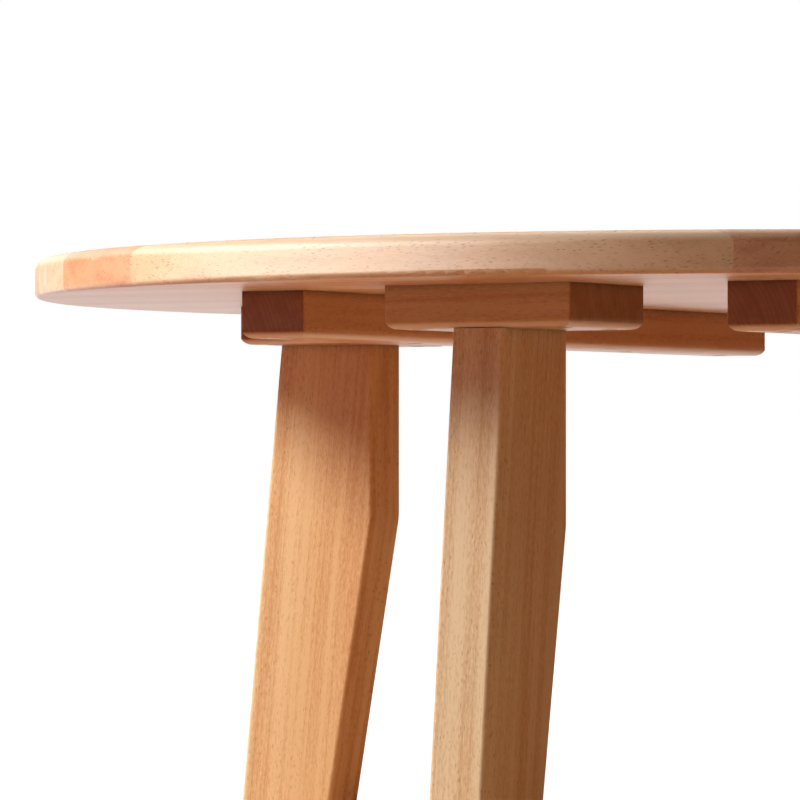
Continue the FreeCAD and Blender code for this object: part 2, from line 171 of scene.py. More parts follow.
# Satin lacquer: soft gloss on the fibres, and a coat whose gloss is broad
WOOD_IOR = 1.5
FIBRE_ROUGHNESS = (0.36, 0.5)
COAT_ROUGHNESS = 0.42
COAT_IOR = 1.7
COAT_LEFT_WHEN_BARE = 0.15
RAY_SINKS = -0.5
GRAIN_RELIEF = 0.05 * MM
END_POWER = 4.0
# Painted shade: the colour is darkened in corners where two pieces meet, where shade falls
CORNER_REACH = 5 * MM
CORNER_CLOSED = 0.3
CORNER_OPEN = 0.85
PAINTED_CORNER_SHADE = 0.4
# The upward part of the normal where a side gives way to a round-over, and a round-over to a flat face
SIDE_TO_LOWER = (-0.35, -0.7)
LOWER_TO_FLAT = (-0.9, -0.98)
SIDE_TO_UPPER = (0.15, 0.5)
UPPER_TO_FLAT = (0.85, 0.97)


def beech_figure():
    """The figure of beech in millimetres of the log: rings round the pith, rays that run out from it."""
    tree = bpy.data.node_groups.new("Beech figure", "ShaderNodeTree")
    new_sockets(tree, "INPUT", {"Log": "Vector", "End": "Float", "Distance": "Float", "Pale": "Color",
                                "Deep": "Color", "End Shade": "Float", "Rays": "Float", "Heart": "Float"})
    new_sockets(tree, "OUTPUT", {"Colour": "Color", "Roughness": "Float", "Height": "Float"})
    source = add(tree, "NodeGroupInput").outputs

    # The bent log, and its radius and its way round the pith in millimetres
    slow = add(tree, "ShaderNodeVectorMath", {0: source["Log"], 1: WANDER_SCALE},
               operation="MULTIPLY").outputs[0]
    wander = add(tree, "ShaderNodeTexNoise", {"Vector": slow, "Scale": 1.0, "Detail": 2.0}).outputs["Color"]
    shift = add(tree, "ShaderNodeVectorMath", {0: wander, 1: (0.5, 0.5, 0.5)},
                operation="SUBTRACT").outputs[0]
    bent = add(tree, "ShaderNodeVectorMath", {0: shift, 1: WANDER_REACH, 2: source["Log"]},
               operation="MULTIPLY_ADD").outputs[0]
    part = add(tree, "ShaderNodeSeparateXYZ", {0: bent}).outputs
    flat = add(tree, "ShaderNodeCombineXYZ", {"X": part["X"], "Y": part["Y"]}).outputs[0]
    radius = add(tree, "ShaderNodeVectorMath", {0: flat}, operation="LENGTH").outputs["Value"]
    angle = add(tree, "ShaderNodeMath", {0: part["Y"], 1: part["X"]}, operation="ARCTAN2").outputs[0]
    round_way = add(tree, "ShaderNodeMath", {0: angle, 1: source["Distance"]},
                    operation="MULTIPLY").outputs[0]

    # Yearly rings: a soft start and a darker late edge
    years = add(tree, "ShaderNodeMath", {0: radius, 1: RINGS_PER_MM}, operation="MULTIPLY").outputs[0]
    drift = add(tree, "ShaderNodeTexNoise", {"W": years, "Scale": RING_DRIFT_SCALE, "Detail": 1.0},
                noise_dimensions="1D").outputs[0]
    uneven = add(tree, "ShaderNodeMath", {0: drift, 1: RING_DRIFT, 2: years},
                 operation="MULTIPLY_ADD").outputs[0]
    ring = add(tree, "ShaderNodeMath", {0: uneven}, operation="FRACT").outputs[0]
    late = add(tree, "ShaderNodeMapRange", {0: ring, 1: LATE_START, 2: LATE_END, 3: 0.0, 4: 1.0}).outputs[0]
    late_soft = add(tree, "ShaderNodeMath", {0: late, 1: LATE_POWER}, operation="POWER").outputs[0]

    # Rays: dashes on a flat-sawn face and patches on a quartered one
    polar = add(tree, "ShaderNodeCombineXYZ", {"X": radius, "Y": round_way, "Z": part["Z"]}).outputs[0]
    ray_cells = add(tree, "ShaderNodeVectorMath", {0: polar, 1: RAY_SCALE}, operation="MULTIPLY").outputs[0]
    rays = add(tree, "ShaderNodeTexVoronoi", {"Vector": ray_cells, "Scale": 1.0, "Randomness": 1.0}).outputs
    ray_draw = add(tree, "ShaderNodeSeparateColor", {0: rays["Color"]}).outputs
    ray_reach = add(tree, "ShaderNodeMath", {0: ray_draw[0], 1: RAY_VARIES, 2: RAY_SMALLEST},
                    operation="MULTIPLY_ADD").outputs[0]
    crowd = add(tree, "ShaderNodeTexNoise", {"Vector": ray_cells, "Scale": CROWD_SCALE,
                                             "Detail": 1.0}).outputs[0]
    crowded = add(tree, "ShaderNodeMapRange", {0: crowd, 1: CROWD_LOW, 2: CROWD_HIGH, 3: CROWD_LEAST,
                                               4: 1.0}).outputs[0]
    ray_some = add(tree, "ShaderNodeMapRange", {0: ray_draw[1], 1: RAY_NONE, 2: RAY_FULL}).outputs[0]
    ray_there = add(tree, "ShaderNodeMath", {0: ray_some, 1: crowded}, operation="MULTIPLY").outputs[0]
    ray = add(tree, "ShaderNodeMapRange", {0: rays["Distance"], 1: ray_reach, 2: RAY_CORE, 3: 0.0,
                                           4: ray_there}).outputs[0]

    thin = add(tree, "ShaderNodeVectorMath", {0: bent, 1: FIBRE_STRETCH}, operation="MULTIPLY").outputs[0]
    fibre = add(tree, "ShaderNodeTexNoise", {"Vector": thin, "Scale": FIBRE_SCALE, "Detail": 3.0,
                                             "Roughness": 0.65}).outputs[0]
    wide = add(tree, "ShaderNodeVectorMath", {0: bent, 1: STRIPE_STRETCH}, operation="MULTIPLY").outputs[0]
    stripe = add(tree, "ShaderNodeTexNoise", {"Vector": wide, "Scale": STRIPE_SCALE,
                                              "Detail": 2.5}).outputs[0]

    # Rings, stripes and fibres add up to a tone between the board's pale and deep colours
    stripe_part = add(tree, "ShaderNodeMapRange", {0: stripe, 1: NOISE_LOW, 2: NOISE_HIGH, 3: STRIPE_TONE[0],
                                                   4: STRIPE_TONE[1]}, clamp=False).outputs[0]
    ring_depth = add(tree, "ShaderNodeMapRange", {0: source["End"], 3: RING_TONE[0],
                                                  4: RING_TONE[1]}).outputs[0]
    late_part = add(tree, "ShaderNodeMath", {0: late_soft, 1: ring_depth, 2: stripe_part},
                    operation="MULTIPLY_ADD").outputs[0]
    fibre_part = add(tree, "ShaderNodeMapRange", {0: fibre, 1: NOISE_LOW, 2: NOISE_HIGH, 3: FIBRE_TONE[0],
                                                  4: FIBRE_TONE[1]}, clamp=False).outputs[0]
    tone = add(tree, "ShaderNodeMath", {0: late_part, 1: fibre_part}, operation="ADD",
               use_clamp=True).outputs[0]
    plain = add(tree, "ShaderNodeMix", {"Factor": tone, 6: source["Pale"], 7: source["Deep"]},
                data_type="RGBA").outputs[2]
    outward = add(tree, "ShaderNodeMath", {0: radius, 1: source["Distance"]}, operation="SUBTRACT").outputs[0]
    heart = add(tree, "ShaderNodeMapRange", {0: outward, 1: HEART_FULL_MM, 2: HEART_GONE_MM,
                                             3: source["Heart"], 4: 0.0}).outputs[0]
    hearted = add(tree, "ShaderNodeMix", {"Factor": heart, 6: plain, 7: HEART_TINT}, data_type="RGBA",
                  blend_type="MULTIPLY").outputs[2]
    ray_part = add(tree, "ShaderNodeMath", {0: ray, 1: source["Rays"]}, operation="MULTIPLY").outputs[0]
    rayed = add(tree, "ShaderNodeMix", {"Factor": ray_part, 6: hearted, 7: linear(RAY_COLOUR)},
                data_type="RGBA").outputs[2]
    end_part = add(tree, "ShaderNodeMath", {0: source["End"], 1: source["End Shade"]},
                   operation="MULTIPLY").outputs[0]
    ended = add(tree, "ShaderNodeMix", {"Factor": end_part, 6: rayed, 7: linear(END_COLOUR)},
                data_type="RGBA").outputs[2]

    gloss = add(tree, "ShaderNodeMapRange", {0: fibre, 1: NOISE_LOW, 2: NOISE_HIGH, 3: FIBRE_ROUGHNESS[0],
                                             4: FIBRE_ROUGHNESS[1]}).outputs[0]
    grain_height = add(tree, "ShaderNodeMath", {0: ray, 1: RAY_SINKS, 2: fibre},
                       operation="MULTIPLY_ADD").outputs[0]
    add(tree, "NodeGroupOutput", {"Colour": ended, "Roughness": gloss, "Height": grain_height})
    return tree


FIGURE = beech_figure()


def beech(name, centre, grain, towards_bark, distance, shift, pale, deep, gloss_level,
          end_shade=0.75, rays=0.4, heart=0.0, edge=0.0, painted_arris_light=0.0, coat=0.0):
    """Beech, planed, sandpapered and given a satin lacquer: fine even figure, small dark ray dashes, soft
    gloss.

    The board's centre lies at a distance from the pith and a shift along the log, both in millimetres. The
    edge value is how much painted light, standing for light the floor throws up, pales the lower round-overs,
    and how much coat they keep. The arris value is how much painted highlight pales the upper round-overs.
    Corners where two pieces meet are darkened with painted shade.
    """
    material, tree = new_material(name)
    along = Vector(grain).normalized()
    out = Vector(towards_bark)
    out = (out - out.dot(along) * along).normalized()
    turn = Matrix((out, along.cross(out), along))
    place = Vector((distance, 0, shift)) - turn @ Vector(centre) / MM
    where = add(tree, "ShaderNodeTexCoord").outputs
    log = add(tree, "ShaderNodeMapping", {"Vector": where["Object"], "Location": place,
                                          "Rotation": turn.to_euler("XYZ"),
                                          "Scale": (1 / MM,) * 3}).outputs[0]
    facing = add(tree, "ShaderNodeVectorMath", {0: where["Normal"], 1: along},
                 operation="DOT_PRODUCT").outputs["Value"]
    facing = add(tree, "ShaderNodeMath", {0: facing}, operation="ABSOLUTE").outputs[0]
    end = add(tree, "ShaderNodeMath", {0: facing, 1: END_POWER}, operation="POWER").outputs[0]
    figure = add(tree, "ShaderNodeGroup", {
        "Log": log, "End": end, "Distance": distance, "Pale": linear(pale), "Deep": linear(deep),
        "End Shade": end_shade, "Rays": rays, "Heart": heart}, node_tree=FIGURE).outputs
    bump = add(tree, "ShaderNodeBump", {"Height": figure["Height"], "Strength": 1.0,
                                        "Distance": GRAIN_RELIEF}).outputs[0]

    # Painted shade: ambient occlusion darkens the colour in corners where two pieces meet
    corner = add(tree, "ShaderNodeAmbientOcclusion", {"Distance": CORNER_REACH}, samples=4).outputs["AO"]
    painted_corner_shade = add(tree, "ShaderNodeMapRange", {0: corner, 1: CORNER_CLOSED, 2: CORNER_OPEN, 3: PAINTED_CORNER_SHADE,
                                            4: 1.0}).outputs[0]
    # Painted light: the lower round-overs are painted paler for the light the floor throws up, and the upper
    # ones paler as a painted highlight
    upward = add(tree, "ShaderNodeSeparateXYZ", {0: where["Normal"]}).outputs["Z"]
    past_side = add(tree, "ShaderNodeMapRange", {0: upward, 1: SIDE_TO_LOWER[0], 2: SIDE_TO_LOWER[1], 3: 0.0,
                                                 4: edge}).outputs[0]
    before_flat = add(tree, "ShaderNodeMapRange", {0: upward, 1: LOWER_TO_FLAT[1],
                                                   2: LOWER_TO_FLAT[0]}).outputs[0]
    painted_edge_light_below = add(tree, "ShaderNodeMath", {0: past_side, 1: before_flat},
                       operation="MULTIPLY").outputs[0]
    above_side = add(tree, "ShaderNodeMapRange", {0: upward, 1: SIDE_TO_UPPER[0], 2: SIDE_TO_UPPER[1], 3: 0.0,
                                                  4: painted_arris_light}).outputs[0]
    before_top = add(tree, "ShaderNodeMapRange", {0: upward, 1: UPPER_TO_FLAT[1],
                                                  2: UPPER_TO_FLAT[0]}).outputs[0]
    painted_edge_light = add(tree, "ShaderNodeMath", {0: above_side, 1: before_top, 2: painted_edge_light_below},
                 operation="MULTIPLY_ADD").outputs[0]
    colour = add(tree, "ShaderNodeMix", {"Factor": painted_edge_light, 6: figure["Colour"], 7: linear(PAINTED_EDGE_LIGHT_COLOUR)},
                 data_type="RGBA").outputs[2]
    # The painted corner shade darkens the colour
    colour = add(tree, "ShaderNodeVectorMath", {0: colour, "Scale": painted_corner_shade}, operation="SCALE").outputs[0]

    # End grain drinks the lacquer, the upper face is rubbed matt, and the lower round-overs keep their gloss
    rubbed = add(tree, "ShaderNodeMapRange", {0: upward, 1: UPPER_TO_FLAT[0], 2: UPPER_TO_FLAT[1]}).outputs[0]
    bare = add(tree, "ShaderNodeMath", {0: end, 1: rubbed}, operation="MAXIMUM").outputs[0]
    side_coat = add(tree, "ShaderNodeMapRange", {0: bare, 3: coat, 4: COAT_LEFT_WHEN_BARE * coat}).outputs[0]
    lacquer = add(tree, "ShaderNodeMath", {0: side_coat, 1: past_side}, operation="MAXIMUM").outputs[0]
    surface = add(tree, "ShaderNodeBsdfPrincipled", {
        "Base Color": colour, "Roughness": figure["Roughness"], "Normal": bump, "IOR": WOOD_IOR,
        "Specular IOR Level": gloss_level, "Coat Weight": lacquer, "Coat Roughness": COAT_ROUGHNESS,
        "Coat IOR": COAT_IOR})
    add(tree, "ShaderNodeOutputMaterial", {"Surface": surface.outputs[0]})
    return material


# Each board's pale and deep colour. The staves from -Y: pale straw, orange, pale pink, and then mixed
STAVE_TONES = (
    ("E6BA8A", "D6A472"), ("DCA070", "C67F50"), ("E6C2A0", "D6A680"), ("D9AC7A", "C4905E"),
    ("DDB588", "CB9A6A"), ("D6A574", "BF8452"), ("E0BA90", "CFA074"), ("D8A878", "C28C5C"),
    ("DCB182", "C79562"), ("D3A06C", "BB7F4E"), ("DFB88E", "CC9C6E"), ("DAAC7C", "C4905E"),
    ("E2BE96", "D0A478"), ("D7A674", "BF8856"), ("DDB488", "C99A6C"), ("D4A06E", "BC8050"),
    ("DEB588", "CB9868"),
)
BATTEN_TONES = ("D6A274", "BE8454")
BLOCK_TONES = (("D4AC7C", "C29262"), ("CC945F", "B67A47"), ("C98C56", "B2703F"), ("C98E5A", "B37342"))
LEG_TONES = (("E9D0A8", "D2A87A"), ("E9C79A", "D29E6C"), ("E7C396", "CE986A"), ("E9C898", "D2A06E"))
LEG_HEART = (0.4, 0.5, 0.6, 0.7)
# The front stave shows short ray dashes on the rim, so its rings run nearly along that face
FRONT_STAVE_LEAN = 75
# Painted highlight: how much paler the staves' upper round-overs are painted, most on the front stave
FRONT_STAVE_ARRIS_PAINTED_LIGHT = 0.6
STAVE_ARRIS_PAINTED_LIGHT = 0.35
STAVE_LEAN = 70
STAVE_SKEW = 0.02
# How far a board is sawn from the pith, in millimetres, which way its grain runs, a little off its own
# line, and which side of it looks to the bark. Those of blocks and legs are for the south side
STAVE_FROM_PITH = (45, 120)
BATTEN_FROM_PITH = (50, 90)
BATTEN_GRAIN = (0, 1, 0.01)
BATTEN_BARK = (1, 0, 0.35)
BLOCK_FROM_PITH = (60, 110)
BLOCK_GRAIN = (1, 0.01, 0)
BLOCK_BARK = (0, 1.0, 0.3)
LEG_FROM_PITH = (60, 100)
LEG_GRAIN = (0, -LEG_SPLAY, -1)
LEG_BARK = (-0.8, -0.6, 0)
LOG_HALF_MM = 900
DRAW_SEED = 11

draw = random.Random(DRAW_SEED)


def log_place(nearest, furthest):
    """A drawn distance from the pith and place along the log, in millimetres."""
    return draw.uniform(nearest, furthest), draw.uniform(-LOG_HALF_MM, LOG_HALF_MM)


for number, (pale, deep) in enumerate(STAVE_TONES, start=1):
    in_front = number == 1
    centre = (0, (number - 1 - STAVE_COUNT // 2) * STAVE_PITCH, STAVE_MIDDLE_Z)
    drawn_lean = draw.uniform(-STAVE_LEAN, STAVE_LEAN)
    lean = math.radians(FRONT_STAVE_LEAN if in_front else drawn_lean)
    bark = (0, math.sin(lean), draw.choice((-1, 1)) * math.cos(lean))
    wood = beech("Beech stave %02d, satin lacquer" % number, centre,
                 (1, draw.uniform(-STAVE_SKEW, STAVE_SKEW), 0), bark, *log_place(*STAVE_FROM_PITH), pale,
                 deep, gloss_level=0.1, end_shade=0.3, rays=0.9,
                 painted_arris_light=FRONT_STAVE_ARRIS_PAINTED_LIGHT if in_front else STAVE_ARRIS_PAINTED_LIGHT, coat=1.0)
    dress("top_stave_%02d" % number, wood)

# Battens and blocks take edge=1.0: painted light pales their lower round-overs, which also keep their coat
for side, x in (("west", -BATTEN_CENTRE), ("east", BATTEN_CENTRE)):
    wood = beech("Beech batten %s, satin lacquer" % side, (x, 0, BATTEN_MIDDLE_Z), BATTEN_GRAIN,
                 BATTEN_BARK, *log_place(*BATTEN_FROM_PITH), *BATTEN_TONES, gloss_level=0.05, edge=1.0)
    dress("batten_" + side, wood)

for turns, side in enumerate(SIDES):
    wood = beech("Beech block %s, satin lacquer" % side, quarter(turns, 0, -BLOCK_CENTRE, BLOCK_MIDDLE_Z),
                 quarter(turns, *BLOCK_GRAIN), quarter(turns, *BLOCK_BARK), *log_place(*BLOCK_FROM_PITH),
                 *BLOCK_TONES[turns], gloss_level=0.05, end_shade=0.6, edge=1.0)
    dress("leg_block_" + side, wood)
    wood = beech("Beech leg %s, satin lacquer" % side, quarter(turns, *LEG_MIDDLE),
                 quarter(turns, *LEG_GRAIN), quarter(turns, *LEG_BARK), *log_place(*LEG_FROM_PITH),
                 *LEG_TONES[turns], gloss_level=0.06, heart=LEG_HEART[turns])
    dress("leg_" + side, wood)


# Steel and felt

# How much the tone and the gloss of a metal's grains differ
METAL_TONE = (0.86, 1.06)
METAL_ROUGHER = 0.08
METAL_SMOOTHER = 0.06
FELT_COLOURS = ("5B5049", "8D8177")
# The hairs are drawn this thick to show
FELT_HAIR = 0.5 * MM
FELT_FUZZ = 0.3 * MM


def steel(name, colour, roughness, mottle_mm, relief_mm):
    """A metal with a fine mottle: the tone of each grain differs a little, and so does its gloss."""
    material, tree = new_material(name)
    where = add(tree, "ShaderNodeTexCoord").outputs["Object"]
    mottle = add(tree, "ShaderNodeTexNoise", {"Vector": where, "Scale": 1 / (mottle_mm * MM),
                                              "Detail": 4.0}).outputs[0]
    tone = add(tree, "ShaderNodeMapRange", {0: mottle, 1: NOISE_LOW, 2: NOISE_HIGH, 3: METAL_TONE[0],
                                            4: METAL_TONE[1]}, clamp=False).outputs[0]
    base = add(tree, "ShaderNodeVectorMath", {0: linear(colour)[:3], "Scale": tone},
               operation="SCALE").outputs[0]
    gloss = add(tree, "ShaderNodeMapRange", {0: mottle, 1: NOISE_LOW, 2: NOISE_HIGH,
                                             3: roughness + METAL_ROUGHER,
                                             4: roughness - METAL_SMOOTHER}).outputs[0]
    bump = add(tree, "ShaderNodeBump", {"Height": mottle, "Strength": 1.0,
                                        "Distance": relief_mm * MM}).outputs[0]
    surface = add(tree, "ShaderNodeBsdfPrincipled", {"Base Color": base, "Metallic": 1.0, "Roughness": gloss,
                                                     "Normal": bump})
    add(tree, "ShaderNodeOutputMaterial", {"Surface": surface.outputs[0]})
    return material


def pressed_felt():
    """Pressed wool felt: matt and fuzzy, in grey and brown hairs."""
    material, tree = new_material("Wool felt, pressed, grey brown")
    where = add(tree, "ShaderNodeTexCoord").outputs["Object"]
    hairs = add(tree, "ShaderNodeTexNoise", {"Vector": where, "Scale": 1 / FELT_HAIR, "Detail": 5.0,
                                             "Roughness": 0.75}).outputs[0]
    tone = add(tree, "ShaderNodeMix", {"Factor": hairs, 6: linear(FELT_COLOURS[0]),
                                       7: linear(FELT_COLOURS[1])}, data_type="RGBA").outputs[2]
    bump = add(tree, "ShaderNodeBump", {"Height": hairs, "Strength": 1.0, "Distance": FELT_FUZZ}).outputs[0]
    surface = add(tree, "ShaderNodeBsdfPrincipled", {"Base Color": tone, "Roughness": 0.95, "Normal": bump,
                                                     "Sheen Weight": 0.4})
    add(tree, "ShaderNodeOutputMaterial", {"Surface": surface.outputs[0]})
    return material


# Stamped sheet: cool grey, half matt, with the faint spangle of zinc
zinc = steel("Steel sheet, stamped and zinc plated", "B9BCBF", roughness=0.36, mottle_mm=1.6, relief_mm=0.01)
# Turned rod: brighter, warmer and smoother than the sheet
turned = steel("Steel rod, turned and nickel plated", "C6C4BE", roughness=0.24, mottle_mm=0.5,
               relief_mm=0.004)
# Spring strip: dark blue grey from the heat that tempered it
blued = steel("Spring steel, blued", "4A5361", roughness=0.3, mottle_mm=2.5, relief_mm=0.004)
# Screws: a yellow sheen over bright steel
screw_zinc = steel("Screw steel, yellow zinc plated", "CDB377", roughness=0.28, mottle_mm=0.6,
                   relief_mm=0.006)
felt = pressed_felt()

for side in SIDES:
    dress("hinge_bracket_" + side, zinc)
    dress("leg_plate_" + side, zinc)
    dress("pivot_pin_" + side, turned)
    dress("catch_spring_" + side, blued)
    dress("foot_pad_" + side, felt)


# Screws and rivets

TURNED_SIDES = 24
DOME_LEVELS = 6
SEAM_GAP = 0.01 * MM
# A face whose normal lies this near the part's own axis is an end
END_FACE = 0.999
# The cross recess, as shares of the head's radius and depth. Half of its depth lies above the head's face
RECESS_WIDTH = 1.15
RECESS_SLOT = 0.26
RECESS_DEPTH = 1.7
RECESS_TAPER = (0.5, 0.5, 1)
SCREW_TIP_SHARE = 0.25
LARGE_SCREW = {"Head Radius": 4 * MM, "Shank Radius": 2 * MM}
SMALL_SCREW = {"Head Radius": 3.2 * MM, "Shank Radius": 1.6 * MM}
BATTEN_SCREW_LENGTH = 33.5 * MM
BLOCK_SCREW_LENGTH = 31 * MM
BASE_SCREW_LENGTH = 16 * MM
STRAP_SCREW_LENGTH = 18 * MM
SPRING_RIVET = {"Head Radius": 2.6 * MM, "Head Height": 1.2 * MM, "Shank Radius": 1.5 * MM, "Depth": 3.3 * MM}


def turned_tree(name, sizes):
    """A tree that stands a turned part on each point of a mesh, along the point's drive direction."""
    tree = bpy.data.node_groups.new(name, "GeometryNodeTree")
    new_sockets(tree, "OUTPUT", {"Geometry": "Geometry"})
    new_sockets(tree, "INPUT", {"Points": "Geometry", **dict.fromkeys(sizes, "Float"), "Seed": "Int",
                                "Metal": "Material"})
    return tree, add(tree, "NodeGroupInput").outputs


def lathe(tree, levels):
    """A closed rod of unit radius, and each of its points' level, from 0 at the face."""
    rod = add(tree, "GeometryNodeMeshCylinder", {"Vertices": TURNED_SIDES, "Side Segments": levels,
                                                 "Radius": 1.0, "Depth": float(levels)}).outputs["Mesh"]
    spot = add(tree, "GeometryNodeInputPosition").outputs[0]
    place = add(tree, "ShaderNodeSeparateXYZ", {0: spot}).outputs
    level = add(tree, "ShaderNodeMath", {0: place["Z"], 1: levels / 2}, operation="ADD").outputs[0]
    return rod, place, add(tree, "ShaderNodeMath", {0: level}, operation="ROUND").outputs[0]


def turned_to(tree, rod, place, radius, height):
    """The rod with its points moved out to a radius and along to a height."""
    x = add(tree, "ShaderNodeMath", {0: place["X"], 1: radius}, operation="MULTIPLY").outputs[0]
    y = add(tree, "ShaderNodeMath", {0: place["Y"], 1: radius}, operation="MULTIPLY").outputs[0]
    spot = add(tree, "ShaderNodeCombineXYZ", {"X": x, "Y": y, "Z": height}).outputs[0]
    shaped = add(tree, "GeometryNodeSetPosition", {"Geometry": rod, "Position": spot}).outputs[0]
    return add(tree, "GeometryNodeMergeByDistance", {"Geometry": shaped, "Distance": SEAM_GAP}).outputs[0]


def smooth_sides(tree, body):
    """The part with smooth shading on all faces but its flat ends."""
    normal = add(tree, "GeometryNodeInputNormal").outputs[0]
    along = add(tree, "ShaderNodeSeparateXYZ", {0: normal}).outputs["Z"]
    steep = add(tree, "ShaderNodeMath", {0: along}, operation="ABSOLUTE").outputs[0]
    sideways = add(tree, "FunctionNodeCompare", {0: steep, 1: END_FACE}, data_type="FLOAT",
                   operation="LESS_THAN").outputs[0]
    return add(tree, "GeometryNodeSetShadeSmooth", {"Geometry": body, "Selection": sideways},
               domain="FACE").outputs[0]


def stand_on_points(tree, source, part):
    """Instances of the part on the points, each spun by its own amount, made real and given the metal."""
    drive = add(tree, "GeometryNodeInputNamedAttribute", {"Name": "drive"},
                data_type="FLOAT_VECTOR").outputs[0]
    aimed = add(tree, "FunctionNodeAlignRotationToVector", {"Vector": drive}, axis="Z").outputs[0]
    spin = add(tree, "FunctionNodeRandomValue", {2: 0.0, 3: math.pi, "Seed": source["Seed"]},
               data_type="FLOAT").outputs[1]
    spun = add(tree, "FunctionNodeAxisAngleToRotation", {"Axis": UP, "Angle": spin}).outputs[0]
    turn = add(tree, "FunctionNodeRotateRotation", {0: aimed, 1: spun}, rotation_space="LOCAL").outputs[0]
    stood = add(tree, "GeometryNodeInstanceOnPoints", {"Points": source["Points"], "Instance": part,
                                                       "Rotation": turn}).outputs[0]
    real = add(tree, "GeometryNodeRealizeInstances", {"Geometry": stood}).outputs[0]
    finished = add(tree, "GeometryNodeSetMaterial", {"Geometry": real, "Material": source["Metal"]})
    add(tree, "NodeGroupOutput", {"Geometry": finished.outputs[0]})
    return tree


def wood_screw_tree():
    """Countersunk screws with a cross recess. Their threads are left out, because the wood hides them."""
    tree, source = turned_tree("Countersunk wood screws", ("Head Radius", "Shank Radius", "Length", "Tip"))
    head, shank, length = source["Head Radius"], source["Shank Radius"], source["Length"]
    head_depth = add(tree, "ShaderNodeMath", {0: head, 1: shank}, operation="SUBTRACT").outputs[0]
    tip_start = add(tree, "ShaderNodeMath", {0: length, 1: source["Tip"]}, operation="SUBTRACT").outputs[0]

    # The radius and the height of each level, from the head's face to the point. A gap stands for zero
    outline = ((head, None), (shank, head_depth), (shank, tip_start), (None, length))
    rod, place, level = lathe(tree, len(outline) - 1)
    radius = add(tree, "GeometryNodeIndexSwitch", {"Index": level}, data_type="FLOAT")
    height = add(tree, "GeometryNodeIndexSwitch", {"Index": level}, data_type="FLOAT")
    for switch in (radius, height):
        while len(switch.index_switch_items) < len(outline):
            switch.index_switch_items.new()
    for number, values in enumerate(outline):
        for switch, value in zip((radius, height), values):
            if value is not None:
                tree.links.new(value, switch.inputs[str(number)])
    body = smooth_sides(tree, turned_to(tree, rod, place, radius.outputs[0], height.outputs[0]))

    # The recess is two crossed wedges that narrow to half their size at the bottom
    wide = add(tree, "ShaderNodeMath", {0: head, 1: RECESS_WIDTH}, operation="MULTIPLY").outputs[0]
    narrow = add(tree, "ShaderNodeMath", {0: head, 1: RECESS_SLOT}, operation="MULTIPLY").outputs[0]
    deep = add(tree, "ShaderNodeMath", {0: head_depth, 1: RECESS_DEPTH}, operation="MULTIPLY").outputs[0]
    cutter = add(tree, "GeometryNodeMeshBoolean", {}, operation="DIFFERENCE", solver="EXACT")
    tree.links.new(body, cutter.inputs["Mesh 1"])
    for across, along in ((wide, narrow), (narrow, wide)):
        size = add(tree, "ShaderNodeCombineXYZ", {"X": across, "Y": along, "Z": deep}).outputs[0]
        wedge = add(tree, "GeometryNodeMeshCube", {"Size": size}).outputs[0]
        spot = add(tree, "GeometryNodeInputPosition").outputs[0]
        above = add(tree, "ShaderNodeSeparateXYZ", {0: spot}).outputs["Z"]
        inner = add(tree, "ShaderNodeMath", {0: above, 1: 0.0}, operation="GREATER_THAN").outputs[0]
        taper = add(tree, "ShaderNodeMix", {"Factor": inner, 4: (1, 1, 1), 5: RECESS_TAPER},
                    data_type="VECTOR").outputs[1]
        tapered = add(tree, "ShaderNodeVectorMath", {0: spot, 1: taper}, operation="MULTIPLY").outputs[0]
        wedge = add(tree, "GeometryNodeSetPosition", {"Geometry": wedge, "Position": tapered}).outputs[0]
        tree.links.new(wedge, cutter.inputs["Mesh 2"])
    return stand_on_points(tree, source, cutter.outputs["Mesh"])


def rivet_tree():
    """Rivets with a low domed head. The far end is flush with the plate."""
    tree, source = turned_tree("Domed rivets", ("Head Radius", "Head Height", "Shank Radius", "Depth"))
    rod, place, level = lathe(tree, DOME_LEVELS + 2)
    bow = add(tree, "ShaderNodeMath", {0: level, 1: math.pi / 2 / DOME_LEVELS},
              operation="MULTIPLY").outputs[0]
    sine = add(tree, "ShaderNodeMath", {0: bow}, operation="SINE").outputs[0]
    cosine = add(tree, "ShaderNodeMath", {0: bow}, operation="COSINE").outputs[0]
    dome_radius = add(tree, "ShaderNodeMath", {0: sine, 1: source["Head Radius"]},
                      operation="MULTIPLY").outputs[0]
    dome_rise = add(tree, "ShaderNodeMath", {0: cosine, 1: source["Head Height"]},
                    operation="MULTIPLY").outputs[0]
    dome_height = add(tree, "ShaderNodeMath", {0: dome_rise, 1: -1.0}, operation="MULTIPLY").outputs[0]
    past_dome = add(tree, "ShaderNodeMath", {0: level, 1: DOME_LEVELS + 1.0}, operation="SUBTRACT").outputs[0]
    shank_height = add(tree, "ShaderNodeMath", {0: past_dome, 1: source["Depth"]},
                       operation="MULTIPLY").outputs[0]
    in_shank = add(tree, "ShaderNodeMath", {0: past_dome, 1: -0.5}, operation="GREATER_THAN").outputs[0]
    radius = add(tree, "ShaderNodeMix", {"Factor": in_shank, 2: dome_radius,
                                         3: source["Shank Radius"]}).outputs[0]
    height = add(tree, "ShaderNodeMix", {"Factor": in_shank, 2: dome_height, 3: shank_height}).outputs[0]
    body = turned_to(tree, rod, place, radius, height)
    return stand_on_points(tree, source, smooth_sides(tree, body))


WOOD_SCREWS = wood_screw_tree()
RIVETS = rivet_tree()


